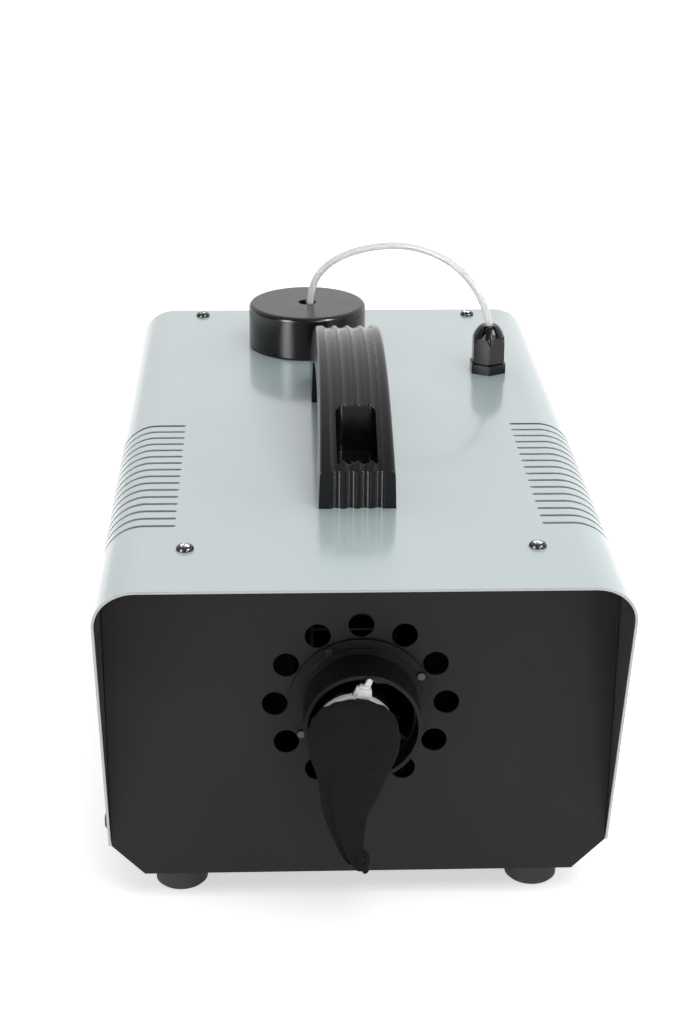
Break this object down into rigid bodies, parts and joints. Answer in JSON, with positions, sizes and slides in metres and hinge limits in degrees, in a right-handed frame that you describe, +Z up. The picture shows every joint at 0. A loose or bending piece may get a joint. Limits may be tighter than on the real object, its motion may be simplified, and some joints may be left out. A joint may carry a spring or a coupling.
{
  "type": "snow machine",
  "caption": "Portable stage snow machine: folded steel case, round blower outlet with a cloth sock, carry handle, fluid tank cap and feed hose on top.",
  "frame": {"origin": "middle of the base, on the surface that the feet stand on", "axes": "+Z up, -Y out of the air outlet, +X to the right seen from the front"},
  "size_m": [0.2444, 0.418, 0.253],
  "materials": {
    "grey_paint": "semi-gloss fine powder coat",
    "black_steel": "matte powder coat",
    "outlet_plastic": "satin moulded",
    "handle_plastic": "gloss moulded",
    "cap_plastic": "semi-gloss moulded",
    "gland_plastic": "gloss nylon",
    "foot_rubber": "matte",
    "seal_rubber": "matte",
    "sock_cloth": "knitted cloth",
    "tie_nylon": "natural nylon",
    "clear_hose": "translucent milky",
    "black_screw": "black oxide, worn in the cross slot",
    "zinc_screw": "zinc plated",
    "zinc_sheet": "zinc plated",
    "duct_plastic": "moulded",
    "fan_plastic": "moulded",
    "nylon": "natural nylon",
    "liner_foam": "closed-cell foam",
    "tank_plastic": "blow-moulded, translucent",
    "pump_plastic": "glass-filled nylon",
    "coil_plastic": "moulded coil",
    "socket_plastic": "moulded",
    "rocker_plastic": "gloss moulded",
    "relay_plastic": "moulded",
    "terminal_plastic": "moulded",
    "circuit_board": "solder resist",
    "brass": "machined",
    "bearing_steel": "ground",
    "motor_steel": "satin",
    "cast_alloy": "die cast",
    "core_steel": "laminated"
  },
  "bodies": {
    "housing": {"air_plenum": "duct_plastic", "blower_saddle": "duct_plastic", "blower_scroll": "duct_plastic", "board_posts": "nylon", "cable_tie": "tie_nylon", "carry_handle": "handle_plastic", "chassis_tray": "black_steel", "control_board": "circuit_board", "cover_screws": "black_screw", "feed_hose": "clear_hose", "fluid_tank": "tank_plastic", "foot_screws": "zinc_screw", "front_panel": "black_steel", "gland_body": "gland_plastic", "gland_dome_nut": "gland_plastic", "gland_locknut": "gland_plastic", "gland_seal": "seal_rubber", "handle_nuts": "zinc_screw", "handle_screws": "black_screw", "inlet_pins": "brass", "inlet_screws": "black_screw", "motor_bearings": "bearing_steel", "motor_bells": "cast_alloy", "motor_can": "motor_steel", "motor_cradle": "duct_plastic", "motor_stator": "core_steel", "outlet_screws": "black_screw", "outlet_tube": "outlet_plastic", "panel_screws": "black_screw", "power_inlet": "socket_plastic", "pump_body": "pump_plastic", "pump_bracket": "zinc_sheet", "pump_coil": "coil_plastic", "pump_inlet_hose": "clear_hose", "pump_mounts": "seal_rubber", "pump_outlet_hose": "clear_hose", "pump_spring": "bearing_steel", "pump_yoke": "zinc_sheet", "rear_panel": "black_steel", "relays": "relay_plastic", "remote_receiver": "circuit_board", "rubber_feet": "foot_rubber", "snow_nozzle": "outlet_plastic", "snow_sock": "sock_cloth", "spray_jet": "brass", "suction_hose": "clear_hose", "suction_strainer": "pump_plastic", "switch_body": "socket_plastic", "tank_bracket": "zinc_sheet", "terminal_block": "terminal_plastic", "top_cover": "grey_paint"},
    "cap_seal": {"cap_liner": "liner_foam"},
    "cap": {"tank_cap": "cap_plastic"},
    "rotor": {"blower_fan": "fan_plastic", "motor_shaft": "bearing_steel", "motor_rotor": "core_steel"},
    "rocker": {"switch_rocker": "rocker_plastic"},
    "fuse": {"fuse_drawer": "socket_plastic"},
    "plunger": {"pump_plunger": "bearing_steel"}
  },
  "joints": [
    {"name": "fan_spin", "type": "hinge", "parent": "housing", "child": "rotor", "pos_m": [0, -0.052, 0.076], "axis": [1, 0, 0], "continuous": true},
    {"name": "cap_lift", "type": "slide", "parent": "housing", "child": "cap_seal", "axis": [0, 0, 1], "range_m": [0, 0.004]},
    {"name": "cap_turn", "type": "hinge", "parent": "cap_seal", "child": "cap", "pos_m": [-0.0186, 0.1406, 0.2], "axis": [0, 0, 1], "range_deg": [0, 360]},
    {"name": "power_rocker", "type": "hinge", "parent": "housing", "child": "rocker", "pos_m": [-0.072, 0.1985, 0.108], "axis": [1, 0, 0], "range_deg": [-20, 0]},
    {"name": "fuse_slide", "type": "slide", "parent": "housing", "child": "fuse", "axis": [0, 1, 0], "range_m": [0, 0.014]},
    {"name": "plunger_stroke", "type": "slide", "parent": "housing", "child": "plunger", "axis": [0, 0, 1], "range_m": [-0.006, 0], "stiffness_N_per_m": 600, "springref_m": 0.003, "deforming": ["pump_spring"]}
  ],
  "couplings": [
    {"joint": "cap_lift", "follows": "cap_turn", "m_per_rad": 0.00063656}
  ]
}
